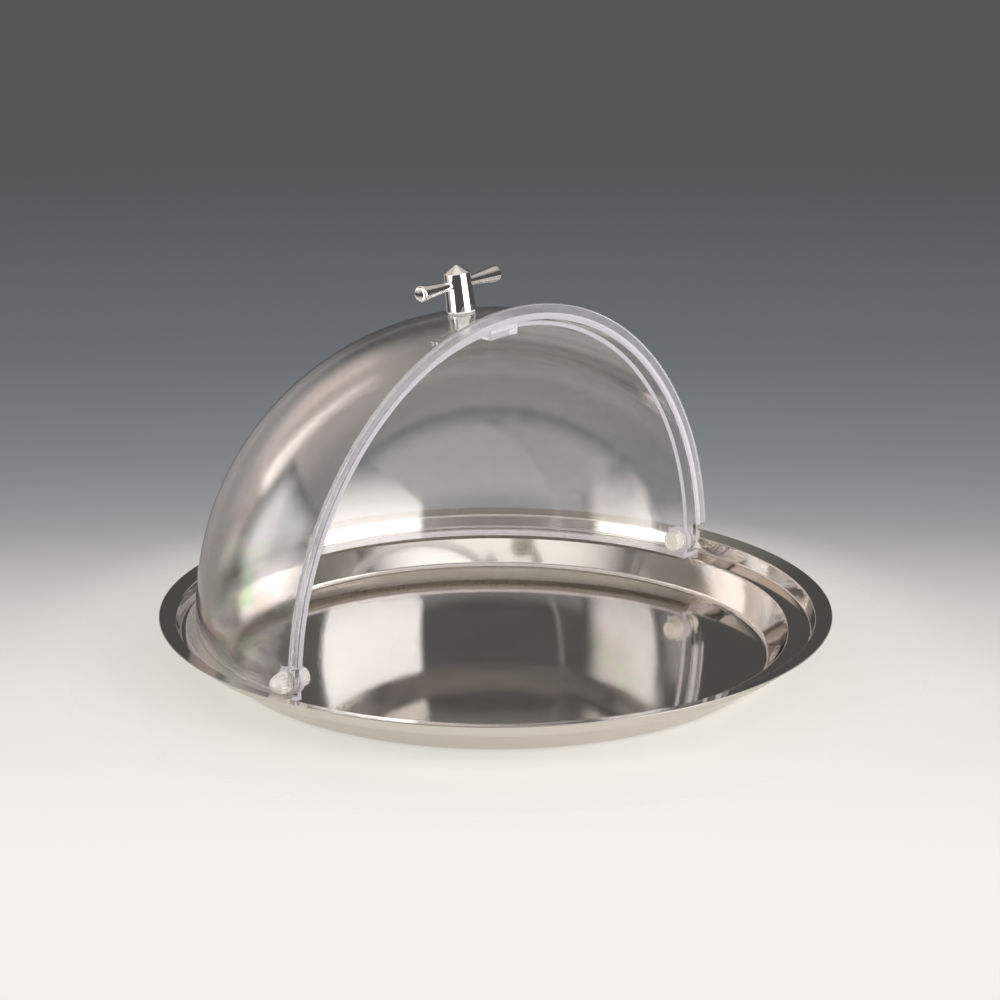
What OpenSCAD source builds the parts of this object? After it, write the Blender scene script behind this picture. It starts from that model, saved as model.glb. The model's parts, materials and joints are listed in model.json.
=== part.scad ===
// Roll-top food cover on a round tray. A fixed rear quarter dome stands on the ledge of a drawn
// steel tray, and a front quarter dome turns over it on two clear pivots. Drawn rolled open.
// X runs along the pivot axis, the opening faces -Y and the tray stands on Z = 0.

/* [Tray] */
// Outer diameter of the tray
tray_d = 420; // [360:1:480]
// Height of the rim's outer edge
tray_h = 30; // [26:0.5:36]
// Thickness of the steel sheet
sheet_t = 0.8; // [0.6:0.1:1.2]
// Width of the rim
rim_w = 10.5; // [8:0.5:14]
// Rise of the rim from its inner to its outer edge
rim_rise = 2; // [1:0.5:3]
// Width of the slanted step between the rim and the ledge
step_w = 3; // [2:0.5:5]
// Depth of the ledge below the rim's inner edge
step_drop = 8.5; // [7:0.5:10]
// Width of the ledge that the cover stands on
ledge_w = 13.5; // [12:0.5:18]
// Width of the slanted wall of the well, seen from above
wall_w = 13; // [8:0.5:18]
// Fold radius between the well's wall and its floor
floor_fold_r = 6; // [4:0.5:8]
// Fold radius of the ledge's inner edge
ledge_fold_r = 2.5; // [1.5:0.5:4]
// Fold radius at both edges of the step
step_fold_r = 1.5; // [1:0.5:2.5]

/* [Cover] */
// Wall thickness of both domes
wall_t = 3; // [2.5:0.25:4]
// Gap between the two nested domes
dome_gap = 2; // [1.5:0.25:3]
// Height of the pivot axis above the ledge
axis_h = 12; // [10.5:0.5:15]
// Width of the flange outside the front dome
flange_w = 6.5; // [5:0.5:9]
// Thickness of the flanges
flange_t = 3; // [2.5:0.25:3.5]
// Distance of the rear dome's front edge in front of the pivot axis
rear_edge = 5.5; // [4.5:0.5:8]

/* [Pivots] */
// Diameter of the knobs
knob_d = 12.5; // [11:0.5:14]
// Length of the outer knob's head
outer_knob_l = 9.5; // [7:0.5:12]
// Length of the inner knob
inner_knob_l = 6.5; // [6:0.5:10]
// Diameter of the stud
stud_d = 6; // [5:0.5:7]
// Wall of the bush that the front dome turns on
bush_wall = 1; // [0.8:0.1:1.5]
// Thickness of the outer and inner washers
washer_t = 1; // [0.6:0.1:1.5]
// Diameter of all pivot washers
washer_d = 13.5; // [12.5:0.5:15]
// Length of stud inside the inner knob
stud_grip = 4.5; // [3.5:0.5:5]
// Depth of the dished end of the inner knob
dish_depth = 0.8; // [0.4:0.1:1.2]
// Width of the raised rim round the dished end
dish_rim = 1.5; // [1:0.1:2]

/* [Glide clip] */
// Width of the clip along the arch
clip_w = 24; // [16:1:32]
// Length of the clip's legs behind the edge
clip_l = 12; // [8:1:16]
// Thickness of the clip's inner leg
clip_inner_t = 3.2; // [2:0.2:4]
// Thickness of the clip's front web
clip_web = 1.5; // [1:0.1:1.7]

/* [Handle] */
// Angle of the handle behind the upright, with the cover open
handle_angle = 8.7; // [6:0.1:16]
// Diameter of the post at its foot
post_foot_d = 18.5; // [16:0.5:21]
// Diameter of the post at its shoulder
post_top_d = 16.5; // [14:0.5:18]
// Height of the post from foot to shoulder
post_h = 23.5; // [21:0.5:32]
// Height of the post's pointed top
point_h = 5.2; // [4:0.2:8]
// Bevel round the foot of the post
post_bevel = 0.4; // [0.2:0.1:0.8]
// Radius of the blunt tip of the point
tip_r = 0.8; // [0.4:0.1:1.2]
// Height of the arms above the post's foot
arm_h = 16.8; // [14:0.2:17.6]
// Overall span of the two arms
arm_span = 70; // [60:1:84]
// Diameter of an arm beside the post
arm_root_d = 5.7; // [5:0.1:7]
// Diameter of an arm at its flared end
arm_end_d = 10.5; // [9:0.5:13]
// Curve of an arm's flare: 1 is a straight cone
arm_flare = 1.4; // [1:0.1:2]
// Rounding of the arm's end
arm_end_r = 1.8; // [1:0.1:2.5]
// Diameter of the arm's threaded spigot
spigot_d = 4; // [3:0.5:4.5]
// Length of the spigot inside the post
spigot_l = 5; // [4:0.5:6]
// Thickness of the gasket under the post
gasket_t = 1; // [0.6:0.1:1.5]
// Diameter of the handle screw
screw_d = 5; // [4:0.5:6]
// Length of screw inside the post
screw_grip = 9; // [7:0.5:11]

/* [Fits] */
// Gap between the ledge and the front flange with the cover closed
closed_gap = 0.5; // [0.4:0.1:0.8]
// Gap between the rear flange and the front dome's lower edge
rest_gap = 0.4; // [0.3:0.05:0.6]
// Gap between the flanges and the step of the tray
flange_gap = 3; // [2.5:0.5:4]
// Gap between the ends of the two flanges with the cover closed
flange_end_gap = 5.5; // [4:0.5:8]
// Gap between the glide clip and the front dome
clip_gap = 0.7; // [0.5:0.05:0.8]
// Seat of the glide clip on the rear dome
clip_seat = 0.25; // [0.2:0.05:0.3]
// Radial clearance of the front dome on its bushes
run_clear = 0.06; // [0.03:0.01:0.09]
// Radial clearance of studs, spigots and screws in their holes
hole_clear = 0.05; // [0.02:0.01:0.08]
// Side play of the front dome between its washers
side_play = 0.2; // [0.1:0.05:0.3]
// Depth of the screw's head below the inner face of the front dome
screw_sink = 0.1; // [0.05:0.05:0.2]
// Wall left under the head of the handle screw
screw_land = 0.9; // [0.7:0.1:1.2]

/* [Hidden] */
$fn = 96;
far = 2 * tray_d;
lap = 1;
fold_steps = 6;
flare_steps = 10;
clear_plastic = [0.88, 0.88, 0.92, 0.35];
nylon = [0.93, 0.93, 0.92, 0.7];
polished_steel = [0.78, 0.77, 0.75];
chrome_plate = [0.85, 0.85, 0.86];

// Tray section
rim_in_r = tray_d / 2 - rim_w;
rim_in_z = tray_h - rim_rise;
ledge_out_r = rim_in_r - step_w;
ledge_z = rim_in_z - step_drop;
ledge_in_r = ledge_out_r - ledge_w;
floor_r = ledge_in_r - wall_w;
rim_slope = atan2(rim_rise, rim_w);
rim_edge_r = tray_d / 2 - sheet_t * sin(rim_slope);

// Dome radii, all measured from the pivot axis
axis_z = ledge_z + axis_h;
flange_r = ledge_out_r - flange_gap;
front_r = flange_r - flange_w;
front_in_r = front_r - wall_t;
rear_r = front_in_r - dome_gap;
rear_in_r = rear_r - wall_t;
front_lead = axis_h - closed_gap;
ear_r = axis_h - flange_t - rest_gap;
flange_end = rear_edge + flange_end_gap;

// Stations along the pivot axis, from the middle outwards
function ear_face(r) = sqrt(r * r - ear_r * ear_r);
rear_face_in = ear_face(rear_in_r);
front_face_in = ear_face(front_in_r);
spacer_end = front_face_in - side_play / 2;
bush_end = front_r + side_play / 2;
outer_knob_start = bush_end + washer_t;
inner_knob_end = rear_face_in - washer_t;
stud_end = inner_knob_end - stud_grip;
stud_hole_r = stud_d / 2 + hole_clear;
bush_r = stud_hole_r + bush_wall;

// Stations along the handle's axis, from the pivot axis outwards
post_foot = front_r + gasket_t;
screw_hole_r = screw_d / 2 + hole_clear;
head_start = front_in_r + screw_sink;
head_h = wall_t - screw_sink - screw_land;
arm_z = post_foot + arm_h;
arm_root_x = post_radius(arm_h);
arm_l = arm_span / 2 - arm_root_x;

// Points of an arc of radius r that rounds the corner b between a and c
function unit(v) = v / norm(v);
function turn(a) = a > 180 ? a - 360 : a < -180 ? a + 360 : a;
function bearing(v) = atan2(v.y, v.x);
function corner(a, b, c, r) =
  let (u = unit(a - b), v = unit(c - b), half = acos(u * v) / 2)
  let (centre = b + unit(u + v) * r / sin(half), run = r / tan(half))
  let (start = bearing(b + u * run - centre), finish = bearing(b + v * run - centre))
  [for (i = [0 : fold_steps])
    let (a = start + turn(finish - start) * i / fold_steps)
    centre + r * [cos(a), sin(a)]];

// Right-hand side normal of a line of points at point i
function side(path, i) =
  let (a = path[max(i - 1, 0)], b = path[min(i + 1, len(path) - 1)], d = unit(b - a))
  [d.y, -d.x];

// Radius of the post at height h above its foot
function post_radius(h) = (post_foot_d + (post_top_d - post_foot_d) * h / post_h) / 2;

// Radius of an arm at a share s of its length
function arm_radius(s) = (arm_root_d + (arm_end_d - arm_root_d) * pow(s, arm_flare)) / 2;

// Upper face of the tray's sheet, from the middle of the floor to the rim's edge
well = [0, sheet_t];
floor_corner = [floor_r, sheet_t];
ledge_in = [ledge_in_r, ledge_z];
ledge_out = [ledge_out_r, ledge_z];
rim_in = [rim_in_r, rim_in_z];
rim_edge = [rim_edge_r, tray_h];
sheet_top = concat(
  [well],
  corner(well, floor_corner, ledge_in, floor_fold_r),
  corner(floor_corner, ledge_in, ledge_out, ledge_fold_r),
  corner(ledge_in, ledge_out, rim_in, step_fold_r),
  corner(ledge_out, rim_in, rim_edge, step_fold_r),
  [rim_edge]
);
last = len(sheet_top) - 1;
sheet_under = [for (i = [last : -1 : 0]) sheet_top[i] + sheet_t * side(sheet_top, i)];

module tray() {
  color(polished_steel)
    rotate_extrude()
      polygon(concat(sheet_top, sheet_under));
}

// Places children with their Z axis pointing out along the pivot axis, from the middle of the cover
module at_pivot(right) {
  translate([0, 0, axis_z])
    mirror([right ? 0 : 1, 0, 0])
      rotate([0, 90, 0])
        children();
}

// A round piece with a hole, between two stations of its own axis
module ring(start, finish, outer_r, inner_r) {
  difference() {
    translate([0, 0, start])
      cylinder(r = outer_r, h = finish - start);
    translate([0, 0, start - lap])
      cylinder(r = inner_r, h = finish - start + 2 * lap);
  }
}

// Flat round ears of a dome at both pivots, and the holes through them
module ears(start, finish) {
  for (right = [false, true])
    at_pivot(right)
      translate([0, 0, start])
        cylinder(r = ear_r, h = finish - start);
}

module ear_holes(hole_r) {
  for (right = [false, true])
    at_pivot(right)
      translate([0, 0, stud_end])
        cylinder(r = hole_r, h = bush_end - stud_end);
}

module rear_shell() {
  color(clear_plastic)
    difference() {
      union() {
        difference() {
          intersection() {
            union() {
              translate([0, 0, axis_z])
                sphere(r = rear_r);
              translate([0, 0, ledge_z])
                cylinder(r = flange_r, h = flange_t);
            }
            translate([-far / 2, -rear_edge, ledge_z])
              cube(far);
          }
          translate([0, 0, axis_z])
            sphere(r = rear_in_r);
        }
        ears(rear_face_in, rear_r);
      }
      ear_holes(stud_hole_r);
    }
}

// Space that the front dome takes up about the pivot axis; its round ears fill the lower front corner
module front_extent() {
  translate([-far / 2, -front_lead, flange_end])
    cube(far);
  translate([-far / 2, -ear_r, 0])
    cube(far);
  translate([-far / 2, 0, -ear_r])
    cube(far);
}

// Flat flange round the front dome's leading edge, which ends above the pivots
module front_flange() {
  intersection() {
    translate([0, flange_t - front_lead, 0])
      rotate([90, 0, 0])
        cylinder(r = flange_r, h = flange_t);
    translate([-far / 2, -far / 2, flange_end])
      cube(far);
  }
}

module front_shell() {
  color(clear_plastic)
    difference() {
      union() {
        translate([0, 0, axis_z])
          difference() {
            union() {
              intersection() {
                sphere(r = front_r);
                front_extent();
              }
              front_flange();
            }
            sphere(r = front_in_r);
          }
        ears(front_face_in, front_r);
      }
      ear_holes(bush_r + run_clear);
      on_handle_axis()
        screw_hole();
    }
}

// U-shaped clip on the middle of the rear dome's front edge, which keeps the domes apart
module glide_clip() {
  leg_out = rear_r + dome_gap - clip_gap;
  leg_in = rear_in_r - clip_seat - clip_inner_t;
  front = rear_edge + clip_seat + clip_web;
  half_angle = asin(clip_w / 2 / rear_in_r);
  color(clear_plastic)
    translate([0, 0, axis_z])
      rotate([90, 0, 0])
        rotate([0, 0, 90 - half_angle])
          rotate_extrude(angle = 2 * half_angle)
            difference() {
              translate([leg_in, rear_edge - clip_l])
                square([leg_out - leg_in, front - rear_edge + clip_l]);
              translate([rear_in_r - clip_seat, rear_edge - clip_l - lap])
                square([wall_t + 2 * clip_seat, clip_l + lap + clip_seat]);
            }
}

// Outer knob with a domed head and the stud that passes through both domes
module pivot_knob(right) {
  color(clear_plastic)
    at_pivot(right) {
      translate([0, 0, stud_end])
        cylinder(d = stud_d, h = outer_knob_start - stud_end + lap);
      rotate_extrude()
        polygon(concat(
          [[0, outer_knob_start], [knob_d / 2, outer_knob_start]],
          [for (a = [0 : 10 : 90])
            [knob_d / 2 * cos(a), outer_knob_start + outer_knob_l - knob_d / 2 * (1 - sin(a))]]
        ));
    }
}

// Inner knob: a blind nut with a dished end
module inner_knob(right) {
  end = inner_knob_end - inner_knob_l;
  dish_r = knob_d / 2 - dish_rim;
  color(clear_plastic)
    at_pivot(right)
      difference() {
        translate([0, 0, end])
          cylinder(d = knob_d, h = inner_knob_l);
        translate([0, 0, end - lap])
          cylinder(r = dish_r, h = lap + dish_depth);
        translate([0, 0, stud_end])
          cylinder(r = stud_hole_r, h = stud_grip + lap);
      }
}

module outer_washer(right) {
  color(nylon)
    at_pivot(right)
      ring(bush_end, outer_knob_start, washer_d / 2, stud_hole_r);
}

module pivot_bush(right) {
  color(nylon)
    at_pivot(right)
      ring(spacer_end, bush_end, bush_r, stud_hole_r);
}

module spacer(right) {
  color(nylon)
    at_pivot(right)
      ring(rear_r, spacer_end, washer_d / 2, stud_hole_r);
}

module inner_washer(right) {
  color(nylon)
    at_pivot(right)
      ring(inner_knob_end, rear_face_in, washer_d / 2, stud_hole_r);
}

// Places children with their Z axis along the handle's post, from the pivot axis
module on_handle_axis() {
  translate([0, 0, axis_z])
    rotate([-handle_angle, 0, 0])
      children();
}

// Countersunk screw along Z, grown sideways by a clearance
module screw_form(clear, tip) {
  shank_r = screw_d / 2 + clear;
  translate([0, 0, head_start]) {
    cylinder(r1 = shank_r + head_h, r2 = shank_r, h = head_h);
    cylinder(r = shank_r, h = tip - head_start);
  }
}

// Hole for the screw, open towards the inside of the front dome
module screw_hole() {
  screw_form(hole_clear, post_foot);
  translate([0, 0, head_start - lap])
    cylinder(r = screw_hole_r + head_h, h = lap);
}

module handle_screw() {
  color(chrome_plate)
    on_handle_axis()
      screw_form(0, post_foot + screw_grip);
}

module handle_gasket() {
  color(nylon)
    on_handle_axis()
      ring(front_r, post_foot, post_foot_d / 2, screw_hole_r);
}

// Turned outline of the post: a slight cone with a pointed top
module post_form() {
  rotate_extrude()
    polygon([
      [0, 0], [post_foot_d / 2 - post_bevel, 0], [post_foot_d / 2, post_bevel],
      [post_top_d / 2, post_h], [tip_r, post_h + point_h - tip_r / 2], [0, post_h + point_h]
    ]);
}

module handle_post() {
  color(chrome_plate)
    on_handle_axis()
      translate([0, 0, post_foot])
        difference() {
          post_form();
          translate([0, 0, -lap])
            cylinder(r = screw_hole_r, h = screw_grip + 2 * lap);
          translate([-post_foot_d, 0, arm_h])
            rotate([0, 90, 0])
              cylinder(r = spigot_d / 2 + hole_clear, h = 2 * post_foot_d);
        }
}

// Flared arm that screws into the side of the post
module handle_arm(right) {
  round_x = arm_l - arm_end_r;
  end_y = arm_end_d / 2 - arm_end_r;
  color(chrome_plate)
    on_handle_axis()
      difference() {
        translate([0, 0, arm_z])
          mirror([right ? 0 : 1, 0, 0])
            rotate([0, 90, 0]) {
              translate([0, 0, arm_root_x - spigot_l])
                cylinder(d = spigot_d, h = spigot_l + lap);
              translate([0, 0, arm_root_x])
                rotate_extrude()
                  polygon(concat(
                    [[0, -lap], [arm_root_d / 2, -lap]],
                    [for (i = [0 : flare_steps - 1])
                      let (s = i / flare_steps)
                      [arm_radius(s), s * round_x]],
                    [for (a = [0 : 15 : 90])
                      [end_y + arm_end_r * cos(a), round_x + arm_end_r * sin(a)]],
                    [[0, arm_l]]
                  ));
            }
        translate([0, 0, post_foot])
          difference() {
            post_form();
            translate([-post_foot_d, 0, arm_h])
              rotate([0, 90, 0])
                cylinder(d = spigot_d, h = 2 * post_foot_d);
          }
      }
}

tray();
rear_shell();
front_shell();
glide_clip();
pivot_knob(false);  // left_pivot_knob
pivot_knob(true);  // right_pivot_knob
outer_washer(false);  // left_outer_washer
outer_washer(true);  // right_outer_washer
pivot_bush(false);  // left_pivot_bush
pivot_bush(true);  // right_pivot_bush
spacer(false);  // left_spacer
spacer(true);  // right_spacer
inner_washer(false);  // left_inner_washer
inner_washer(true);  // right_inner_washer
inner_knob(false);  // left_inner_knob
inner_knob(true);  // right_inner_knob
handle_post();
handle_arm(false);  // handle_arm_left
handle_arm(true);  // handle_arm_right
handle_screw();
handle_gasket();
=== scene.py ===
"""Looks of a roll-top food cover: two clear quarter domes, pivots and a handle on a polished steel tray."""

import json
import math

import bmesh
import bpy
from mathutils import Matrix, Vector


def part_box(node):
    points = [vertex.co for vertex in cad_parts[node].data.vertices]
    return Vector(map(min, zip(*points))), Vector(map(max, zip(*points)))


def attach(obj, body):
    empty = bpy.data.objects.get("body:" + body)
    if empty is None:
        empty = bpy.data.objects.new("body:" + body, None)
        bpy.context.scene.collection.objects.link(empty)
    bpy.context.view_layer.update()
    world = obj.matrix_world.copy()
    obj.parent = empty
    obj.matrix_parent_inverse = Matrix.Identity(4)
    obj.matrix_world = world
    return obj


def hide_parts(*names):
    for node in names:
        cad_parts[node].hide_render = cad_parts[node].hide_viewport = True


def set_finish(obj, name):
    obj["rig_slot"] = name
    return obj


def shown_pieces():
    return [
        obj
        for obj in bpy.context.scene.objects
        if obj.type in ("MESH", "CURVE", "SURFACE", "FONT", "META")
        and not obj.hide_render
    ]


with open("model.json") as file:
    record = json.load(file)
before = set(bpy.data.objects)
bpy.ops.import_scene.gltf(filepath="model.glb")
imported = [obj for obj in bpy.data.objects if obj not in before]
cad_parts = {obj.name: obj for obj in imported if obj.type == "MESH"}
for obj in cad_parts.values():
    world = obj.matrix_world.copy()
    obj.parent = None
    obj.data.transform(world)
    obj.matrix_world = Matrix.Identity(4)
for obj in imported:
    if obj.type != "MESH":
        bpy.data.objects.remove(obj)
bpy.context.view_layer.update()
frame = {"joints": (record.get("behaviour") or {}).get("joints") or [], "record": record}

MM = 0.001
QUARTER_TURN = math.pi / 2
FULL_TURN = 2 * math.pi
BODIES = frame["record"]["behaviour"]["bodies"]
SLOTS = {part["node"]: part["material_slot"] for part in frame["record"]["subparts"]}

# Tray: outer size from the frame, section as the sheet is drawn
TRAY_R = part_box("tray")[1].x
TRAY_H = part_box("tray")[1].z
SHEET_T = 0.8 * MM
RIM_W = 10.5 * MM
RIM_RISE = 2 * MM
STEP_W = 3 * MM
STEP_DROP = 8.5 * MM
LEDGE_W = 13.5 * MM
SLANT_W = 13 * MM
FLOOR_FOLD_R = 6 * MM
LEDGE_FOLD_R = 2.5 * MM
STEP_FOLD_R = 1.5 * MM
RIM_EDGE_R = 0.32 * MM
RIM_IN = Vector((TRAY_R - RIM_W, TRAY_H - RIM_RISE))
LEDGE_OUT = RIM_IN - Vector((STEP_W, STEP_DROP))
LEDGE_IN = LEDGE_OUT - Vector((LEDGE_W, 0))
FLOOR_CORNER = Vector((LEDGE_IN.x - SLANT_W, SHEET_T))
RIM_EDGE = Vector((TRAY_R - SHEET_T * math.sin(math.atan2(RIM_RISE, RIM_W)), TRAY_H))

# Domes: radii from the pivot axis
ROLL = next(joint for joint in frame["joints"] if joint["name"] == "cover_roll")
AXIS_Z = ROLL["pos_m"][2]
AXIS_H = AXIS_Z - LEDGE_OUT.y
WALL_T = 3 * MM
DOME_GAP = 2 * MM
FLANGE_W = 6.5 * MM
FLANGE_T = 3 * MM
FLANGE_GAP = 3 * MM
REAR_EDGE = 5.5 * MM
CLOSED_GAP = 0.5 * MM
FLANGE_STOP = 5.5 * MM
EAR_GAP = 0.4 * MM
FRONT_LEAD = AXIS_H - CLOSED_GAP
FLANGE_END = REAR_EDGE + FLANGE_STOP
EAR_R = AXIS_H - FLANGE_T - EAR_GAP
EDGE_ROUND = 0.6 * MM
TRIM_W = 0.8 * MM
FLANGE_R = LEDGE_OUT.x - FLANGE_GAP
FRONT_R = FLANGE_R - FLANGE_W
FRONT_IN_R = FRONT_R - WALL_T
REAR_R = FRONT_IN_R - DOME_GAP
REAR_IN_R = REAR_R - WALL_T

# Pivots: stations along the pivot axis, from the middle outwards
KNOB_D = 12.5 * MM
OUTER_KNOB_L = 9.5 * MM
INNER_KNOB_L = 6.5 * MM
STUD_D = 6 * MM
STUD_GRIP = 4.5 * MM
WASHER_D = 13.5 * MM
WASHER_T = 1 * MM
BUSH_WALL = 1 * MM
HOLE_CLEAR = 0.05 * MM
RUN_CLEAR = 0.06 * MM
SIDE_PLAY = 0.2 * MM
DISH_DEPTH = 0.8 * MM
DISH_RIM = 1.5 * MM
FACE_SKIN = 0.02 * MM
FOOT_SKIN = 0.1 * MM
SMALL_ROUND = 0.3 * MM
KNOB_ROUND = 0.7 * MM
KNOB_FLUTES = 14
FLUTE_DEPTH = 0.5 * MM
KNOB_STEPS = 8 * KNOB_FLUTES
STUD_HOLE_R = STUD_D / 2 + HOLE_CLEAR
BUSH_R = STUD_HOLE_R + BUSH_WALL
REAR_FACE_IN = math.sqrt(REAR_IN_R**2 - EAR_R**2)
FRONT_FACE_IN = math.sqrt(FRONT_IN_R**2 - EAR_R**2)
SPACER_END = FRONT_FACE_IN - SIDE_PLAY / 2
BUSH_END = FRONT_R + SIDE_PLAY / 2
OUTER_KNOB_START = BUSH_END + WASHER_T
INNER_KNOB_END = REAR_FACE_IN - WASHER_T
STUD_END = INNER_KNOB_END - STUD_GRIP

# Glide clip on the middle of the rear dome's edge
CLIP_W = 24 * MM
CLIP_L = 12 * MM
CLIP_INNER_T = 3.2 * MM
CLIP_WEB = 1.5 * MM
CLIP_SEAT = 0.25 * MM
CLIP_GAP = 0.7 * MM

# Handle: stations along its post
HANDLE_TILT = math.radians(8.7)
GASKET_T = 1 * MM
GASKET_INSET = 0.7 * MM
POST_FOOT_D = 18.5 * MM
POST_TOP_D = 16.5 * MM
POST_H = 23.5 * MM
POINT_H = 5.2 * MM
POST_BEVEL = 0.4 * MM
TIP_R = 0.8 * MM
ARM_H = 16.8 * MM
ARM_SPAN = 70 * MM
ARM_ROOT_D = 5.7 * MM
ARM_END_D = 10.5 * MM
ARM_FLARE = 1.4
ARM_END_R = 1.8 * MM
ARM_SEAT = 0.6 * MM
SCREW_D = 5 * MM
SCREW_GRIP = 9 * MM
SCREW_SINK = 0.1 * MM
SCREW_LAND = 0.9 * MM
SOCKET_FLATS = 3 * MM
SOCKET_DEPTH = 1.6 * MM
SOCKET_SIDES = 6
POST_FOOT = FRONT_R + GASKET_T
HEAD_START = FRONT_IN_R + SCREW_SINK
HEAD_H = WALL_T - SCREW_SINK - SCREW_LAND

# Fineness of the meshes
TRAY_STEPS = 288
DOME_STEPS = 320
DOME_ARC_STEPS = 84
SMALL_STEPS = 96
CLIP_STEPS = 24
FILLET_STEPS = 6
FLARE_STEPS = 14
SHARP_ANGLE = math.radians(32)
WELD_GAP = 0.002 * MM
FAR = 0.5

# Surfaces: widths of what varies on them, and the range in which most values of a noise lie
MARK_W = 1.5 * MM
CLOUD_W = 60 * MM
HAZE_W = 9 * MM
NOISE_RANGE = (0.3, 0.7)
WEAR_RANGE = (0.1, 0.5)
STEEL_ROUGHNESS = (0.045, 0.1)
DOME_ROUGHNESS = (0.03, 0.08)
DOME_SHARE = 0.997
PLASTIC_IOR = 1.58
METAL = {"Metallic": 1}

# Stress tints of the domes: a spot behind the left pivot, and how far they reach from it
STRESS_SPOT = (-FRONT_R, 81.9 * MM, 63 * MM)
STRESS_FULL = 49 * MM
STRESS_END = 84 * MM
STRESS_W = 45 * MM
STRESS_TWIST = 1.2
STRESS_STOPS = ((0.36, "f0f9ec"), (0.44, "fbf3f8"), (0.5, "fcf8ee"), (0.56, "f0f9f2"), (0.62, "fbf3f6"))

# Camera of the photograph, for a square image
CAMERA_AZIMUTH = math.radians(-48.1)
CAMERA_ELEVATION = math.radians(17.59)
CAMERA_DISTANCE = 2.608
CAMERA_ASIDE = 2.7 * MM
CAMERA_HEIGHT = 100.8 * MM
FOCAL_SHARE = 4.206
SENSOR_W = 36

# Studio: the sweep's colours by the share of the way from its lowest to its highest direction
SWEEP_LOW = -0.4
SWEEP_HIGH = 1
SWEEP_STOPS = (
    (0.017, "f3f2ec"), (0.041, "e7e4df"), (0.054, "cdcbc7"), (0.067, "99999a"), (0.076, "828588"),
    (0.094, "6b6e71"), (0.123, "565657"), (0.286, "525253"), (0.6, "565553"), (0.8, "b4b1ac"),
    (0.92, "f5f3ef"), (1.0, "ffffff"),
)
# Pale walls and table ends that only reflections show: azimuth to the right of the camera, elevation,
# cosines of the angles where each starts and is full, and colour
ROOM_ZONES = (
    (-134, 24, 0.85, 0.97, "e0cfc4"),
    (138, 36, 0.87, 0.97, "c4c1be"),
    (-150, -8, 0.91, 0.98, "a09b98"),
)
FILL_LIGHT = 0.25
FLOOR_R = 0.36
FLOOR_PLAIN_R = 0.2
FLOOR_FADE_R = 0.33
FLOOR_DROP = 0.2 * MM
FLOOR_SIDES = 128
FLOOR_GLOW = 0.5
# Limits that tell a count of 0 from 1 and of 1 from 2
BELOW_ONE = 0.5
BELOW_TWO = 1.5
BEHIND_LOSS = 0.75


def linear(hex_colour):
    """Linear colour with alpha from an sRGB hex value."""
    parts = [int(hex_colour[i : i + 2], 16) / 255 for i in (0, 2, 4)]
    curve = [c / 12.92 if c <= 0.04045 else ((c + 0.055) / 1.055) ** 2.4 for c in parts]
    return (*curve, 1)


def add(tree, kind, inputs=None, **settings):
    """Adds a node with its settings; each input is a value or the socket that feeds it."""
    made = tree.nodes.new(kind)
    for name, value in settings.items():
        setattr(made, name, value)
    for key, value in (inputs or {}).items():
        if isinstance(value, bpy.types.NodeSocket):
            tree.links.new(value, made.inputs[key])
        else:
            made.inputs[key].default_value = value
    return made


def calc(tree, operation, *values):
    """Result of a Math node on values or sockets."""
    return add(tree, "ShaderNodeMath", dict(enumerate(values)), operation=operation).outputs[0]


def calc_vector(tree, operation, *values):
    """Result of a Vector Math node on values or sockets, which is a number where the operation measures."""
    made = add(tree, "ShaderNodeVectorMath", dict(enumerate(values)), operation=operation)
    measures = operation in ("LENGTH", "DISTANCE", "DOT_PRODUCT")
    return made.outputs["Value" if measures else "Vector"]


def spread(tree, value, start, end, low=0, high=1, kind="LINEAR"):
    """Value that goes from low to high while the given one goes from start to end."""
    inputs = {0: value, 1: start, 2: end, 3: low, 4: high}
    return add(tree, "ShaderNodeMapRange", inputs, interpolation_type=kind).outputs[0]


def blend(tree, share, first, second):
    """Colour between two colours."""
    return add(tree, "ShaderNodeMix", {0: share, 6: first, 7: second}, data_type="RGBA").outputs[2]


def ramp(tree, share, stops):
    """Colour at a share of the way along stops of (position, colour)."""
    made = add(tree, "ShaderNodeValToRGB", {"Fac": share})
    points = made.color_ramp.elements
    for position, colour in stops[1:-1]:
        points.new(position).color = linear(colour)
    for end in (0, -1):
        points[end].position = stops[end][0]
        points[end].color = linear(stops[end][1])
    return made.outputs[0]


def noise(tree, place, width, detail=2, twist=0):
    """Noise from 0 to 1 with spots of the given width."""
    inputs = {"Vector": place, "Scale": 1 / width, "Detail": detail, "Distortion": twist}
    return add(tree, "ShaderNodeTexNoise", inputs).outputs[0]


def object_place(tree):
    """Place on the object, in its own coordinates."""
    return add(tree, "ShaderNodeTexCoord").outputs["Object"]


def new_material(name):
    """An empty material with a surface output, as (material, tree, output)."""
    material = bpy.data.materials.new(name)
    material.use_nodes = True
    tree = material.node_tree
    tree.nodes.clear()
    return material, tree, add(tree, "ShaderNodeOutputMaterial")


def coat(tree, output, inputs):
    """Gives a material its surface."""
    shader = add(tree, "ShaderNodeBsdfPrincipled", inputs)
    tree.links.new(shader.outputs[0], output.inputs[0])


def plastic(share):
    """Constant values of polycarbonate that lets the given share of the light through."""
    return {"IOR": PLASTIC_IOR, "Transmission Weight": share}


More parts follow.
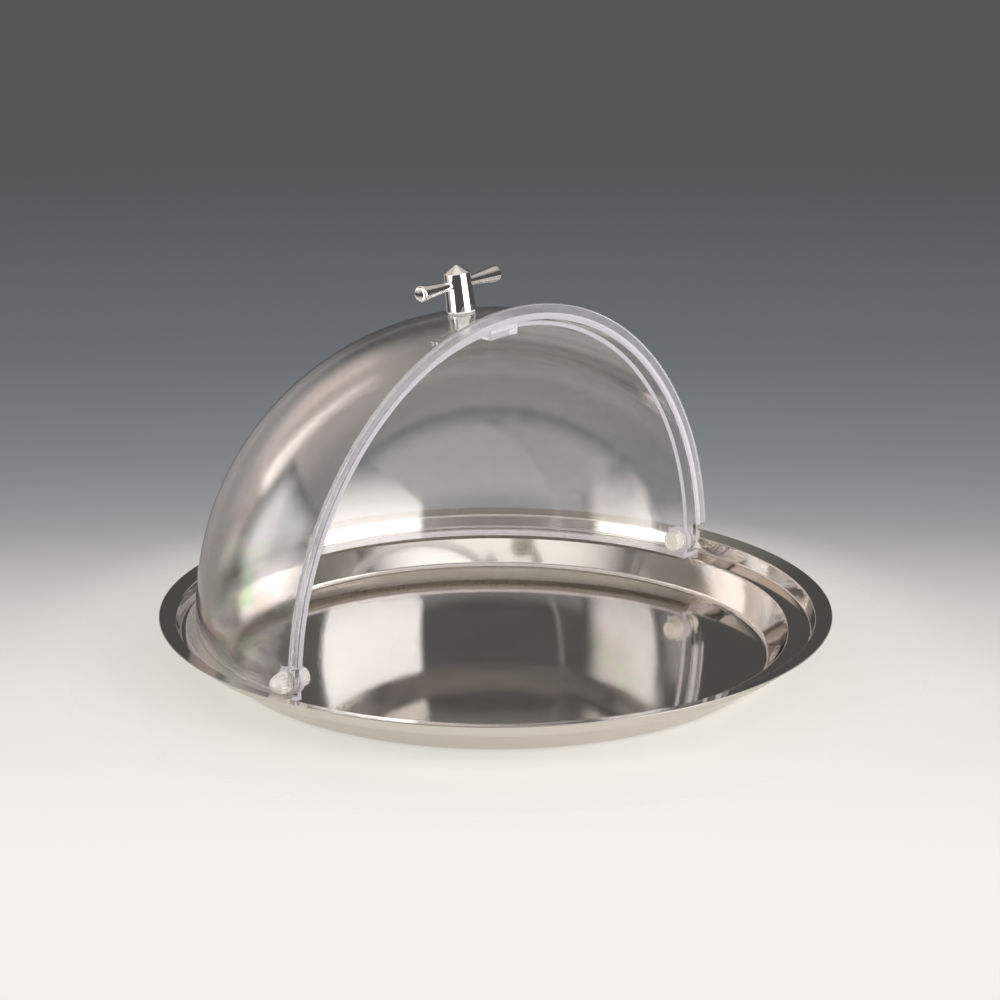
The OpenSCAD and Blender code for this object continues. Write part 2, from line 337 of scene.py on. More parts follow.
def polished_steel():
    """Stainless sheet, deep drawn and mirror polished: sharp warm grey mirror with faint turning marks."""
    material, tree, output = new_material("stainless_steel_mirror_polished")
    place = object_place(tree)
    radius = calc_vector(tree, "LENGTH", calc_vector(tree, "MULTIPLY", place, (1, 1, 0)))
    # Turning marks, drawn coarser than real polishing lines so that they show
    inputs = {"W": radius, "Scale": 1 / MARK_W, "Detail": 2}
    marks = add(tree, "ShaderNodeTexNoise", inputs, noise_dimensions="1D").outputs[0]
    # Clouds where the buffing wheel took off more or less
    clouds = noise(tree, place, CLOUD_W)
    wear = calc(tree, "MULTIPLY", marks, clouds)
    coat(tree, output, {
        "Base Color": blend(tree, clouds, linear("d6cfc8"), linear("dcd6cf")),
        "Roughness": spread(tree, wear, *WEAR_RANGE, *STEEL_ROUGHNESS), **METAL,
    })
    return material


def grained(name, grain, tones, roughness, finish):
    """Material whose tone and roughness vary over a grain of this width; finish holds constant values."""
    material, tree, output = new_material(name)
    share = noise(tree, object_place(tree), grain)
    first, second = (linear(tone) for tone in tones)
    coat(tree, output, {
        "Base Color": blend(tree, share, first, second),
        "Roughness": spread(tree, share, *NOISE_RANGE, *roughness), **finish,
    })
    return material


def clear_polycarbonate():
    """Injection moulded polycarbonate: clear and glossy, with soft rainbow stress tints and a slight haze."""
    material, tree, output = new_material("polycarbonate_clear_moulded")
    place = object_place(tree)
    # Stress bands from the frozen flow of the melt, where the photograph has its colours
    bands = ramp(tree, noise(tree, place, STRESS_W, detail=1, twist=STRESS_TWIST), STRESS_STOPS)
    apart = calc_vector(tree, "DISTANCE", place, STRESS_SPOT)
    near = spread(tree, apart, STRESS_FULL, STRESS_END, 1, 0)
    # Haze from wiping and washing
    haze = noise(tree, place, HAZE_W, detail=4)
    coat(tree, output, {
        "Base Color": blend(tree, near, linear("fcfbfb"), bands),
        "Roughness": spread(tree, haze, *NOISE_RANGE, *DOME_ROUGHNESS), **plastic(DOME_SHARE),
    })
    return material


def turning_tree():
    """Geometry Nodes tree that turns an outline, drawn as points (radius, 0, height), about the Z axis."""
    tree = bpy.data.node_groups.new("turned_outline", "GeometryNodeTree")
    sockets = (
        ("Outline", "NodeSocketGeometry"), ("Steps", "NodeSocketInt"), ("Start", "NodeSocketFloat"),
        ("Sweep", "NodeSocketFloat"), ("Flutes", "NodeSocketInt"), ("Flute Depth", "NodeSocketFloat"),
        ("Flute Core", "NodeSocketFloat"), ("Weld", "NodeSocketFloat"), ("Material", "NodeSocketMaterial"),
    )
    for name, kind in sockets:
        tree.interface.new_socket(name, in_out="INPUT", socket_type=kind)
    tree.interface.new_socket("Piece", in_out="OUTPUT", socket_type="NodeSocketGeometry")
    given = add(tree, "NodeGroupInput").outputs
    outline = given["Outline"]
    size = add(tree, "GeometryNodeAttributeDomainSize", {"Geometry": outline}).outputs["Point Count"]
    columns = calc(tree, "ADD", given["Steps"], 1)
    grid = add(tree, "GeometryNodeMeshGrid", {"Vertices X": columns, "Vertices Y": size}).outputs[0]
    index = add(tree, "GeometryNodeInputIndex").outputs[0]
    row = calc(tree, "MODULO", index, size)
    column = calc(tree, "FLOOR", calc(tree, "DIVIDE", index, size))
    share = calc(tree, "DIVIDE", column, given["Steps"])
    angle = calc(tree, "MULTIPLY_ADD", share, given["Sweep"], given["Start"])
    place = add(tree, "GeometryNodeInputPosition").outputs[0]
    sampled = {"Geometry": outline, "Value": place, "Index": row}
    point = add(tree, "GeometryNodeSampleIndex", sampled, data_type="FLOAT_VECTOR").outputs[0]
    sides = add(tree, "ShaderNodeSeparateXYZ", {0: point}).outputs
    wave = calc(tree, "COSINE", calc(tree, "MULTIPLY", angle, given["Flutes"]))
    cut = spread(tree, wave, -1, 1, given["Flute Depth"], 0)
    full = calc(tree, "ADD", given["Flute Core"], given["Flute Depth"])
    grip = spread(tree, sides[0], given["Flute Core"], full)
    reach = calc(tree, "SUBTRACT", sides[0], calc(tree, "MULTIPLY", cut, grip))
    fluted = add(tree, "ShaderNodeCombineXYZ", {0: reach, 2: sides[2]}).outputs[0]
    spun = {"Vector": fluted, "Angle": angle}
    spot = add(tree, "ShaderNodeVectorRotate", spun, rotation_type="Z_AXIS").outputs[0]
    shaped = add(tree, "GeometryNodeSetPosition", {"Geometry": grid, "Position": spot}).outputs[0]
    closing = {"Geometry": shaped, "Distance": given["Weld"]}
    welded = add(tree, "GeometryNodeMergeByDistance", closing).outputs[0]
    real = add(tree, "GeometryNodeRealizeInstances", {"Geometry": welded}).outputs[0]
    coating = {"Geometry": real, "Material": given["Material"]}
    coated = add(tree, "GeometryNodeSetMaterial", coating).outputs[0]
    add(tree, "NodeGroupOutput", {"Piece": coated})
    return tree


TURNING = turning_tree()
TURNING_INPUTS = {
    item.name: item.identifier for item in TURNING.interface.items_tree if item.in_out == "INPUT"
}


def new_object(name, points, edges=(), faces=()):
    """A mesh object in the scene."""
    mesh = bpy.data.meshes.new(name)
    mesh.from_pydata(points, edges, faces)
    made = bpy.data.objects.new(name, mesh)
    bpy.context.scene.collection.objects.link(made)
    return made


def make_plain(piece):
    """Turns the result of a piece's modifiers into its own plain mesh."""
    graph = bpy.context.evaluated_depsgraph_get()
    mesh = bpy.data.meshes.new_from_object(piece.evaluated_get(graph))
    piece.modifiers.clear()
    piece.data = mesh


def face_outwards(piece):
    """Closes open ends and turns all faces outwards."""
    form = bmesh.new()
    form.from_mesh(piece.data)
    bmesh.ops.holes_fill(form, edges=[edge for edge in form.edges if edge.is_boundary])
    bmesh.ops.recalc_face_normals(form, faces=form.faces)
    form.to_mesh(piece.data)
    form.free()


def turned(name, outline, material, place, steps=SMALL_STEPS, start=0, sweep=FULL_TURN, flutes=0, core=FAR):
    """A piece turned from an outline of (radius, height) points, with flutes outside core, in its place."""
    points = [(point[0], 0, point[1]) for point in outline]
    piece = new_object(name, points, [(i, i + 1) for i in range(len(points) - 1)])
    turning = piece.modifiers.new("turning", "NODES")
    turning.node_group = TURNING
    values = {
        "Steps": steps, "Start": float(start), "Sweep": sweep, "Flutes": flutes, "Flute Depth": FLUTE_DEPTH,
        "Flute Core": core, "Weld": WELD_GAP, "Material": material,
    }
    for key, value in values.items():
        turning[TURNING_INPUTS[key]] = value
    make_plain(piece)
    piece.data.transform(place)
    face_outwards(piece)
    return piece


def combined(piece, tool, operation):
    """Joins a tool piece to a piece, or cuts it away, and deletes the tool."""
    step = piece.modifiers.new("combine", "BOOLEAN")
    step.operation = operation
    step.object = tool
    step.solver = "MANIFOLD"
    make_plain(piece)
    bpy.data.objects.remove(tool)


def finished(piece, node, *materials, choose=None):
    """Smooth shading with crisp edges, the materials, and the CAD node that the piece stands for.

    choose gives the number of a face's material from its middle, seen from the middle of the pivot axis."""
    mesh = piece.data
    mesh.materials.clear()
    for material in materials:
        mesh.materials.append(material)
    for face in mesh.polygons if choose else ():
        face.material_index = choose(face.center - Vector((0, 0, AXIS_Z)))
    mesh.shade_smooth()
    mesh.set_sharp_from_angle(angle=SHARP_ANGLE)
    shading = piece.modifiers.new("shading", "WEIGHTED_NORMAL")
    shading.keep_sharp = True
    make_plain(piece)
    body = next(name for name, nodes in BODIES.items() if node in nodes)
    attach(piece, body)
    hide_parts(node)
    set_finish(piece, SLOTS[node])


def rounded(corners, closed=False):
    """Outline through corners (radius, height, rounding), with an arc at each corner that has a rounding."""
    points = []
    for i, (across, along, rounding) in enumerate(corners):
        corner = Vector((across, along))
        if not rounding:
            points.append(corner)
            continue
        before = (Vector(corners[i - 1][:2]) - corner).normalized()
        after = (Vector(corners[(i + 1) % len(corners)][:2]) - corner).normalized()
        half = before.angle(after) / 2
        centre = corner + (before + after).normalized() * rounding / math.sin(half)
        start = corner + before * rounding / math.tan(half) - centre
        finish = corner + after * rounding / math.tan(half) - centre
        whole = -start.angle_signed(finish)
        for step in range(FILLET_STEPS + 1):
            points.append(centre + Matrix.Rotation(whole * step / FILLET_STEPS, 2) @ start)
    return points + points[:1] if closed else points


def dome_arc(radius, end):
    """Points of a dome's section from its pole to the height end, without the end itself."""
    sweep = math.asin(end / radius) - QUARTER_TURN
    angles = [QUARTER_TURN + sweep * i / DOME_ARC_STEPS for i in range(DOME_ARC_STEPS)]
    return [(radius * math.cos(angle), radius * math.sin(angle), 0) for angle in angles]


def across_at(radius, height):
    """Distance from the axis of a sphere's section at a height."""
    return math.sqrt(radius**2 - height**2)


def offset_corners(corners, distance):
    """Corners of the line that runs beside the given corners, on their right-hand side."""
    moved = []
    for i, corner in enumerate(corners):
        into = corner - corners[i - 1] if i else corners[1] - corner
        out = corners[i + 1] - corner if i < len(corners) - 1 else into
        sides = [Vector((run.y, -run.x)).normalized() for run in (into, out)]
        moved.append(corner + (sides[0] + sides[1]) * distance / (1 + sides[0].dot(sides[1])))
    return moved


AXIS = Matrix.Translation((0, 0, AXIS_Z))
DOME_PLACE = AXIS @ Matrix.Rotation(-QUARTER_TURN, 4, "X")
HANDLE_PLACE = AXIS @ Matrix.Rotation(-HANDLE_TILT, 4, "X")


def pivot_place(side):
    """Place of a turned piece whose axis points outwards along the pivot axis; side is -1 or 1."""
    return AXIS @ Matrix.Rotation(side * QUARTER_TURN, 4, "Y")


def ring_outline(start, finish, outer_r, inner_r, rounding):
    """Closed outline of a ring between two stations."""
    return rounded([
        (inner_r, start, 0), (outer_r, start, rounding), (outer_r, finish, rounding), (inner_r, finish, 0),
    ], closed=True)


def plug_outline(start, finish, radius, rounding=0):
    """Outline of a solid round plug between two stations."""
    return rounded([(0, start, 0), (radius, start, rounding), (radius, finish, rounding), (0, finish, 0)])


def prism(name, section):
    """Long bar along X with the given section (y, height above the pivot axis), for cutting."""
    count = len(section)
    points = [(x, y, AXIS_Z + z) for x in (-FAR, FAR) for y, z in section]
    sides = [(i, (i + 1) % count, (i + 1) % count + count, i + count) for i in range(count)]
    ends = [tuple(range(count)), tuple(range(2 * count - 1, count - 1, -1))]
    bar = new_object(name, points, faces=sides + ends)
    face_outwards(bar)
    return bar


def add_ears(piece, material, face_in, face_out, hole_end, hole_r):
    """Joins a round ear to both sides of a dome, with a hole for the pivot."""
    for side in (-1, 1):
        outline = plug_outline(face_in - FACE_SKIN, face_out + FACE_SKIN, EAR_R, SMALL_ROUND)
        combined(piece, turned("ear", outline, material, pivot_place(side)), "UNION")
        hole = turned("hole", plug_outline(STUD_END, hole_end, hole_r), material, pivot_place(side))
        combined(piece, hole, "DIFFERENCE")


def on_ear(spot):
    """Whether a spot, seen from the middle of the pivot axis, lies on an ear of a dome."""
    return abs(spot.x) > INNER_KNOB_END and math.hypot(spot.y, spot.z) < EAR_R + FACE_SKIN


def make_tray(material, lip_material):
    """Tray of drawn sheet: flat floor, slanted wall, ledge, step and rising rim."""
    upper = [Vector((0, SHEET_T)), FLOOR_CORNER, LEDGE_IN, LEDGE_OUT, RIM_IN, RIM_EDGE]
    lower = offset_corners(upper, SHEET_T)
    folds = (0, FLOOR_FOLD_R, LEDGE_FOLD_R, STEP_FOLD_R, STEP_FOLD_R, RIM_EDGE_R)
    turns = (0, SHEET_T, -SHEET_T, SHEET_T, -SHEET_T, 0)
    corners = [(*point, fold) for point, fold in zip(upper, folds)]
    corners += [(*point, fold + turn) for point, fold, turn in zip(lower, folds, turns)][::-1]
    piece = turned("tray_sheet", rounded(corners), material, Matrix(), TRAY_STEPS)

    # Faces on the rim's rounded lip take the steel with the painted shade
    def choose(spot):
        return int(math.hypot(spot.x, spot.y) > RIM_EDGE.x - RIM_EDGE_R)

    finished(piece, "tray", material, lip_material, choose=choose)


def make_rear_dome(material, edge_material, foot_material):
    """Fixed rear dome: a half bowl cut level at the ledge, with its foot flange and two round ears."""
    front = -REAR_EDGE
    section = [
        *dome_arc(REAR_R, front), (across_at(REAR_R, front), front, EDGE_ROUND),
        (across_at(REAR_IN_R, front), front, EDGE_ROUND), *dome_arc(REAR_IN_R, front)[::-1],
    ]
    piece = turned("rear_dome", rounded(section), material, DOME_PLACE, DOME_STEPS)
    ledge = FOOT_SKIN - AXIS_H
    foot = prism("foot_cut", [(-FAR, ledge), (FAR, ledge), (FAR, FAR), (-FAR, FAR)])
    combined(piece, foot, "INTERSECT")
    foot_top = FLANGE_T - AXIS_H
    outline = ring_outline(ledge, foot_top, FLANGE_R, REAR_R - WALL_T / 2, EDGE_ROUND)
    flange = turned("foot_flange", outline, material, AXIS, TRAY_STEPS)
    flange_front = front + EDGE_ROUND
    back = prism("flange_cut", [(flange_front, -FAR), (FAR, -FAR), (FAR, FAR), (flange_front, FAR)])
    combined(flange, back, "INTERSECT")
    combined(piece, flange, "UNION")
    add_ears(piece, material, REAR_FACE_IN, REAR_R, BUSH_END, STUD_HOLE_R)

    def choose(spot):
        # The foot's underside takes the third material, whose cream tone is painted glow
        if spot.z < ledge + FOOT_SKIN:
            return 2
        foot_rim = spot.z < foot_top and math.hypot(spot.x, spot.y) > FLANGE_R - EDGE_ROUND
        return int(on_ear(spot) or foot_rim or spot.y < flange_front)

    finished(piece, "rear_shell", material, edge_material, foot_material, choose=choose)


def make_front_dome(material, edge_material, flange_material):
    """Moving front dome: a half bowl with a flange round its leading edge, ears and the screw's hole."""
    lead = -FRONT_LEAD
    root = lead + FLANGE_T
    trim_r = FRONT_R + TRIM_W
    section = [
        *dome_arc(FRONT_R, root), (across_at(FRONT_R, root), root, EDGE_ROUND),
        (FLANGE_R, root, EDGE_ROUND), (FLANGE_R, lead, EDGE_ROUND), (trim_r, lead, 0),
        (across_at(FRONT_IN_R, lead), lead, EDGE_ROUND), *dome_arc(FRONT_IN_R, lead)[::-1],
    ]
    piece = turned("front_dome", rounded(section), material, DOME_PLACE, DOME_STEPS)
    extent = prism("front_extent", [
        (-FAR, FLANGE_END), (-EAR_R, FLANGE_END), (-EAR_R, 0), (0, 0),
        (0, -EAR_R), (FAR, -EAR_R), (FAR, FAR), (-FAR, FAR),
    ])
    combined(piece, extent, "INTERSECT")
    add_ears(piece, material, FRONT_FACE_IN, FRONT_R, OUTER_KNOB_START, BUSH_R + RUN_CLEAR)
    shank_r = SCREW_D / 2 + HOLE_CLEAR
    head_r = shank_r + HEAD_H
    screw_hole = turned("screw_hole", [
        (0, FRONT_IN_R - GASKET_T), (head_r, FRONT_IN_R - GASKET_T), (head_r, HEAD_START),
        (shank_r, HEAD_START + HEAD_H), (shank_r, POST_FOOT), (0, POST_FOOT),
    ], material, HANDLE_PLACE)
    combined(piece, screw_hole, "DIFFERENCE")

    def choose(spot):
        if on_ear(spot):
            return 2
        if spot.y > lead + EDGE_ROUND:
            return 0
        return 1 if math.hypot(spot.x, spot.z) < trim_r else 2

    finished(piece, "front_shell", material, edge_material, flange_material, choose=choose)


def make_glide_clip(material):
    """U-shaped clip that hugs the rear dome's edge at the top of the arch."""
    outer = REAR_R + DOME_GAP - CLIP_GAP
    inner = REAR_IN_R - CLIP_SEAT - CLIP_INNER_T
    seat = -REAR_EDGE - CLIP_SEAT
    front = seat - CLIP_WEB
    back = CLIP_L - REAR_EDGE
    seat_out = REAR_R + CLIP_SEAT
    seat_in = REAR_IN_R - CLIP_SEAT
    section = rounded([
        (inner, back, SMALL_ROUND), (inner, front, 2 * SMALL_ROUND), (outer, front, 2 * SMALL_ROUND),
        (outer, back, SMALL_ROUND), (seat_out, back, SMALL_ROUND), (seat_out, seat, 0),
        (seat_in, seat, 0), (seat_in, back, SMALL_ROUND),
    ], closed=True)
    half = math.asin(CLIP_W / 2 / REAR_IN_R)
    start = -QUARTER_TURN - half
    piece = turned("glide_clip_moulded", section, material, DOME_PLACE, CLIP_STEPS, start, 2 * half)
    finished(piece, "glide_clip", material)


def make_pivot(side, name, clear, nylon):
    """One pivot: outer knob with its stud, bush, washers, spacer and inner knob."""
    place = pivot_place(side)
    knob_r = KNOB_D / 2
    top = OUTER_KNOB_START + OUTER_KNOB_L
    cap_angles = [QUARTER_TURN * i / FLARE_STEPS for i in range(FLARE_STEPS)]
    cap = [(knob_r * math.cos(angle), top - knob_r + knob_r * math.sin(angle), 0) for angle in cap_angles]
    outer_knob = rounded([
        (0, STUD_END, 0), (STUD_D / 2, STUD_END, SMALL_ROUND), (STUD_D / 2, OUTER_KNOB_START, 0),
        (knob_r, OUTER_KNOB_START, KNOB_ROUND), *cap, (0, top, 0),
    ])
    core = knob_r - 2 * FLUTE_DEPTH
    head = turned(f"{name}_outer_knob", outer_knob, clear, place, KNOB_STEPS, flutes=KNOB_FLUTES, core=core)
    finished(head, f"{name}_pivot_knob", clear)
    end = INNER_KNOB_END - INNER_KNOB_L
    dish_r = knob_r - DISH_RIM
    inner_knob = rounded([
        (0, end + DISH_DEPTH, 0), (dish_r, end + DISH_DEPTH, SMALL_ROUND), (dish_r, end, SMALL_ROUND),
        (knob_r, end, KNOB_ROUND), (knob_r, INNER_KNOB_END, SMALL_ROUND), (STUD_HOLE_R, INNER_KNOB_END, 0),
        (STUD_HOLE_R, STUD_END, 0), (0, STUD_END, 0),
    ])
    nut = turned(f"{name}_inner_nut", inner_knob, clear, place, KNOB_STEPS, flutes=KNOB_FLUTES, core=core)
    finished(nut, f"{name}_inner_knob", clear)
    rings = (
        ("outer_washer", BUSH_END, OUTER_KNOB_START, WASHER_D / 2),
        ("pivot_bush", SPACER_END, BUSH_END, BUSH_R),
        ("spacer", REAR_R, SPACER_END, WASHER_D / 2),
        ("inner_washer", INNER_KNOB_END, REAR_FACE_IN, WASHER_D / 2),
    )
    for kind, start, finish, outer_r in rings:
        outline = ring_outline(start + FACE_SKIN, finish - FACE_SKIN, outer_r, STUD_HOLE_R, SMALL_ROUND)
        finished(turned(f"{name}_{kind}_turned", outline, nylon, place), f"{name}_{kind}", nylon)


def post_radius(height):
    """Radius of the handle's post at a height above its foot."""
    return (POST_FOOT_D + (POST_TOP_D - POST_FOOT_D) * height / POST_H) / 2


def make_handle(chrome, nylon):
    """Handle: post with a pointed top, two flared arms, the countersunk screw and the gasket."""
    foot = HANDLE_PLACE @ Matrix.Translation((0, 0, POST_FOOT))
    point = POST_H + POINT_H
    post = rounded([
        (0, 0, 0), (POST_FOOT_D / 2, 0, POST_BEVEL), (POST_TOP_D / 2, POST_H, POST_BEVEL),
        (TIP_R, point - TIP_R / 2, POST_BEVEL), (0, point - FACE_SKIN, 0),
    ])
    finished(turned("handle_post_turned", post, chrome, foot), "handle_post", chrome)
    root = post_radius(ARM_H)
    length = ARM_SPAN / 2 - root
    flare = []
    for i in range(FLARE_STEPS):
        share = i / FLARE_STEPS
        radius = (ARM_ROOT_D + (ARM_END_D - ARM_ROOT_D) * share**ARM_FLARE) / 2
        flare.append((radius, root + share * (length - ARM_END_R), 0))
    arm = rounded([
        (0, root - ARM_SEAT, 0), (ARM_ROOT_D / 2, root - ARM_SEAT, 0), *flare,
        (ARM_END_D / 2, root + length, ARM_END_R), (0, root + length, 0),
    ])
    for side, name in ((-1, "left"), (1, "right")):
        place = foot @ Matrix.Translation((0, 0, ARM_H)) @ Matrix.Rotation(side * QUARTER_TURN, 4, "Y")
        finished(turned(f"handle_arm_{name}_turned", arm, chrome, place), f"handle_arm_{name}", chrome)
    shank_r = SCREW_D / 2
    head_r = shank_r + HEAD_H
    screw = turned("handle_screw_turned", rounded([
        (0, HEAD_START, 0), (head_r, HEAD_START, 0), (shank_r, HEAD_START + HEAD_H, 0),
        (shank_r, POST_FOOT + SCREW_GRIP, SMALL_ROUND), (0, POST_FOOT + SCREW_GRIP, 0),
    ]), chrome, HANDLE_PLACE)
    socket_r = SOCKET_FLATS / math.sqrt(3)
    outline = plug_outline(HEAD_START - GASKET_T, HEAD_START + SOCKET_DEPTH, socket_r)
    combined(screw, turned("socket", outline, chrome, HANDLE_PLACE, SOCKET_SIDES), "DIFFERENCE")
    finished(screw, "handle_screw", chrome)
    gasket_r = POST_FOOT_D / 2 - GASKET_INSET
    gasket = ring_outline(FRONT_R, POST_FOOT - FACE_SKIN, gasket_r, shank_r + HOLE_CLEAR, SMALL_ROUND)
    finished(turned("handle_gasket_turned", gasket, nylon, HANDLE_PLACE), "handle_gasket", nylon)


steel = polished_steel()
# Cut edge of the sheet, deburred with an abrasive belt, so it is rough; its dull grey tone is painted shade,
# darker than the steel itself, so that it draws a soft line
lip_steel = grained(
    "stainless_steel_deburred_painted_shade",
    grain=1 * MM, tones=("8f8a85", "a39e98"), roughness=(0.45, 0.6), finish=METAL,
)
# Turned brass, polished and plated: hard bright mirror with a slightly uneven plating
chrome = grained(
    "brass_chrome_plated",
    grain=4 * MM, tones=("e6e2dc", "eeebe6"), roughness=(0.03, 0.07), finish=METAL,
)
dome_plastic = clear_polycarbonate()
# Edges and the rear dome's ears, trimmed and flamed: satin, so they catch the light and look pale lilac
edge_plastic = grained(
    "polycarbonate_trimmed_edge",
    grain=2 * MM, tones=("e4dde5", "ece7ed"), roughness=(0.3, 0.4), finish=plastic(share=0.6),
)
# Flange, front dome's ears and clip, left as moulded: slightly hazy, so a little paler than the dome
flange_plastic = grained(
    "polycarbonate_hazy_flange",
    grain=5 * MM, tones=("f0ecf2", "f6f3f7"), roughness=(0.1, 0.2), finish=plastic(share=0.88),
)
# Underside of the foot, frosted where it stands on the steel; its cream tone is painted glow, standing for
# the light that collects in it
foot_plastic = grained(
    "polycarbonate_frosted_foot_painted_glow",
    grain=1.5 * MM, tones=("e6ddd4", "efe8e0"), roughness=(0.25, 0.4), finish=plastic(share=0.75),
)
# Knobs, a little milky: light spreads inside them, so they look creamy white
knob_plastic = grained(
    "polycarbonate_milky_knob",
    grain=3 * MM, tones=("ebe5de", "f3eee8"), roughness=(0.08, 0.2), finish=plastic(share=0.6),
)
# Natural nylon, turned: whitish and waxy, with fine tool marks
nylon = grained(
    "nylon_natural_turned",
    grain=0.8 * MM, tones=("dedad2", "efebe4"), roughness=(0.35, 0.55), finish={"Transmission Weight": 0.3},
)
make_tray(steel, lip_steel)
make_rear_dome(dome_plastic, edge_plastic, foot_plastic)
make_front_dome(dome_plastic, edge_plastic, flange_plastic)
make_glide_clip(flange_plastic)
make_pivot(-1, "left", knob_plastic, nylon)
make_pivot(1, "right", knob_plastic, nylon)
make_handle(chrome, nylon)

# Clear pieces let soft light through to what is behind them
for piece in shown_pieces():
    if piece.get("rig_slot") in ("clear_dome", "clear_fitting"):
        piece.visible_shadow = False
        piece.visible_diffuse = False


def direction(azimuth, elevation):
    """Unit vector from the object towards an azimuth, seen from above, and an elevation."""
    level = math.cos(elevation)
    return Vector((math.sin(azimuth) * level, -math.cos(azimuth) * level, math.sin(elevation)))


def make_camera():
    """Camera at the photograph's viewing angle."""
    back = direction(CAMERA_AZIMUTH, CAMERA_ELEVATION)
    aside = Vector((math.cos(CAMERA_AZIMUTH), math.sin(CAMERA_AZIMUTH), 0))
    lens = bpy.data.cameras.new("camera")
    lens.sensor_width = SENSOR_W
    lens.lens = FOCAL_SHARE * SENSOR_W
    camera = bpy.data.objects.new("camera", lens)
    bpy.context.scene.collection.objects.link(camera)
    camera.location = aside * CAMERA_ASIDE + Vector((0, 0, CAMERA_HEIGHT)) + back * CAMERA_DISTANCE
    camera.rotation_euler = (-back).to_track_quat("-Z", "Y").to_euler()
    bpy.context.scene.camera = camera


def hidden_share(tree):
    """Share of a softbox's light that a ray doesn't get, so that views from the other side aren't dazzled.

    It is all of it straight through clear plastic, and most of it in a single mirror behind plastic."""
    path = add(tree, "ShaderNodeLightPath").outputs
    straight = calc(tree, "LESS_THAN", path["Glossy Depth"], BELOW_ONE)
    through = calc(tree, "MULTIPLY", path["Is Transmission Ray"], straight)
    behind = calc(tree, "GREATER_THAN", path["Transmission Depth"], BELOW_ONE)
    single = calc(tree, "LESS_THAN", path["Glossy Depth"], BELOW_TWO)
    mirror = calc(tree, "MULTIPLY", path["Is Reflection Ray"], behind)
    return calc(tree, "MULTIPLY_ADD", calc(tree, "MULTIPLY", mirror, single), BEHIND_LOSS, through)


def make_softbox(name, azimuth, middle_z, distance, size, glow, soft, tilt=0):
    """Studio softbox; azimuth is to the right of the camera, glow how bright it looks.

    soft gives the shares, across and along, over which it fades towards its edges."""
    material, tree, output = new_material(f"{name}_cloth")
    inset = calc_vector(tree, "ABSOLUTE", object_place(tree))
    sides = add(tree, "ShaderNodeSeparateXYZ", {0: inset}).outputs
    across, along = (spread(tree, sides[i], 1, 1 - soft[i], kind="SMOOTHSTEP") for i in (0, 1))
    level = calc(tree, "MULTIPLY", calc(tree, "MULTIPLY", across, along), glow)
    strength = calc(tree, "MULTIPLY", level, calc(tree, "SUBTRACT", 1, hidden_share(tree)))
    face = add(tree, "ShaderNodeEmission", {"Strength": strength})
    tree.links.new(face.outputs[0], output.inputs[0])
    softbox = new_object(name, [(-1, -1, 0), (-1, 1, 0), (1, 1, 0), (1, -1, 0)], faces=[(0, 1, 2, 3)])
    softbox.data.materials.append(material)
    out = direction(CAMERA_AZIMUTH + math.radians(azimuth), 0)
    slope = math.radians(tilt)
    facing = -(out * math.cos(slope) + Vector((0, 0, math.sin(slope))))
    softbox.location = out * distance + Vector((0, 0, middle_z))
    softbox.rotation_euler = facing.to_track_quat("-Z", "Y").to_euler()
    softbox.scale = (size[0] / 2, size[1] / 2, 1)
    softbox.visible_camera = False
    softbox.visible_shadow = False
    return softbox


def seen_share(tree):
    """1 for a ray that shows the background: from the camera, a mirror or clear plastic. Otherwise 0."""
    path = add(tree, "ShaderNodeLightPath").outputs
    direct = calc(tree, "MAXIMUM", path["Is Camera Ray"], path["Is Glossy Ray"])
    return calc(tree, "MAXIMUM", direct, path["Is Transmission Ray"])


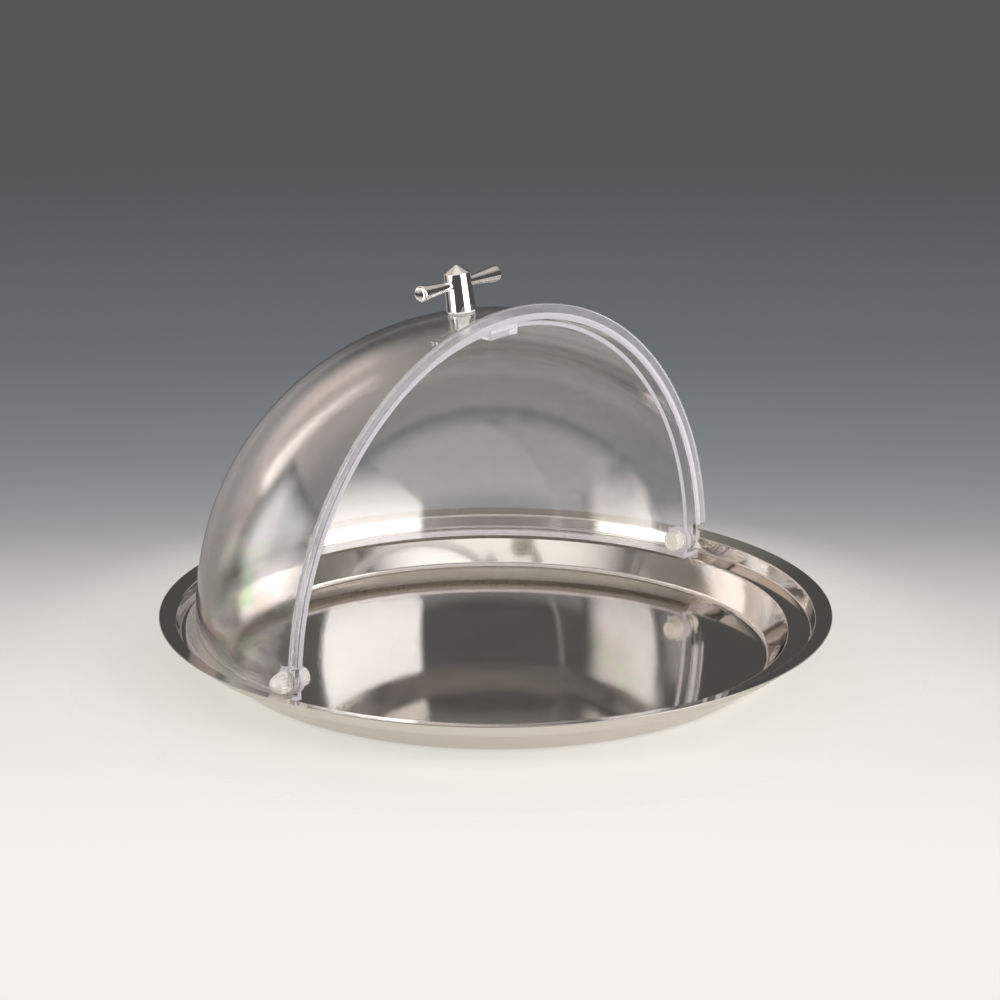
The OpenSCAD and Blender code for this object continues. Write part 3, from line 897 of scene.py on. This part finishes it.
def make_world():
    """Grey sweep that darkens upwards, seen directly, in mirrors and through plastic; plain fill light."""
    world = bpy.data.worlds.new("studio")
    world.use_nodes = True
    bpy.context.scene.world = world
    tree = world.node_tree
    tree.nodes.clear()
    towards = add(tree, "ShaderNodeTexCoord").outputs["Generated"]
    height = add(tree, "ShaderNodeSeparateXYZ", {0: towards}).outputs["Z"]
    room = ramp(tree, spread(tree, height, SWEEP_LOW, SWEEP_HIGH), SWEEP_STOPS)
    glossy = add(tree, "ShaderNodeLightPath").outputs["Is Glossy Ray"]
    for azimuth, elevation, start, full, colour in ROOM_ZONES:
        middle = direction(CAMERA_AZIMUTH + math.radians(azimuth), math.radians(elevation))
        near = calc_vector(tree, "DOT_PRODUCT", towards, middle)
        pale = spread(tree, near, start, full, kind="SMOOTHSTEP")
        room = blend(tree, calc(tree, "MULTIPLY", pale, glossy), room, linear(colour))
    seen = add(tree, "ShaderNodeBackground", {"Color": room, "Strength": 1}).outputs[0]
    fill = add(tree, "ShaderNodeBackground", {"Color": linear("f4f4f4"), "Strength": FILL_LIGHT}).outputs[0]
    mixed = add(tree, "ShaderNodeMixShader", {0: seen_share(tree), 1: fill, 2: seen})
    add(tree, "ShaderNodeOutputWorld", {0: mixed.outputs[0]})


def make_floor():
    """Pale table top that keeps the shadow and fades out into the sweep."""
    material, tree, output = new_material("pale_paper_sweep")
    radius = calc_vector(tree, "LENGTH", object_place(tree))
    fade = spread(tree, radius, FLOOR_PLAIN_R, FLOOR_FADE_R, 1, 0, kind="SMOOTHSTEP")
    paper = add(tree, "ShaderNodeBsdfDiffuse", {"Color": linear("eeebe5")}).outputs[0]
    pale = add(tree, "ShaderNodeEmission", {"Color": linear("f0eee8"), "Strength": 1}).outputs[0]
    share = calc(tree, "MULTIPLY", seen_share(tree), FLOOR_GLOW)
    table = add(tree, "ShaderNodeMixShader", {0: share, 1: paper, 2: pale}).outputs[0]
    clear = add(tree, "ShaderNodeBsdfTransparent").outputs[0]
    mixed = add(tree, "ShaderNodeMixShader", {0: fade, 1: clear, 2: table})
    tree.links.new(mixed.outputs[0], output.inputs[0])
    drop = Vector((0, 0, FLOOR_DROP))
    rim = [direction(FULL_TURN * i / FLOOR_SIDES, 0) * FLOOR_R - drop for i in range(FLOOR_SIDES)]
    floor = new_object("floor", rim, faces=[tuple(range(FLOOR_SIDES))])
    floor.data.materials.append(material)


make_camera()
make_softbox(
    "softbox_right", azimuth=55.6, middle_z=0.2, distance=1.35, size=(1.25, 2.4), glow=6.6, soft=(0.15, 0.85)
)
make_softbox(
    "softbox_left", azimuth=-59, middle_z=0.2, distance=1.35, size=(1, 2.4), glow=5.5, soft=(0.5, 0.85)
)
# A white card, which only gives the dome's left side its reflection
card = make_softbox(
    "card_left", azimuth=-95, middle_z=0.26, distance=0.8, size=(0.56, 0.5), glow=1.7, soft=(0.6, 0.6)
)
card.visible_diffuse = False
make_softbox(
    "softbox_above", azimuth=0, middle_z=1, distance=0.9, size=(3.2, 1.4), glow=1.5, soft=(0.3, 0.6), tilt=48
)
make_world()
make_floor()
bpy.context.scene.view_settings.view_transform = "Standard"
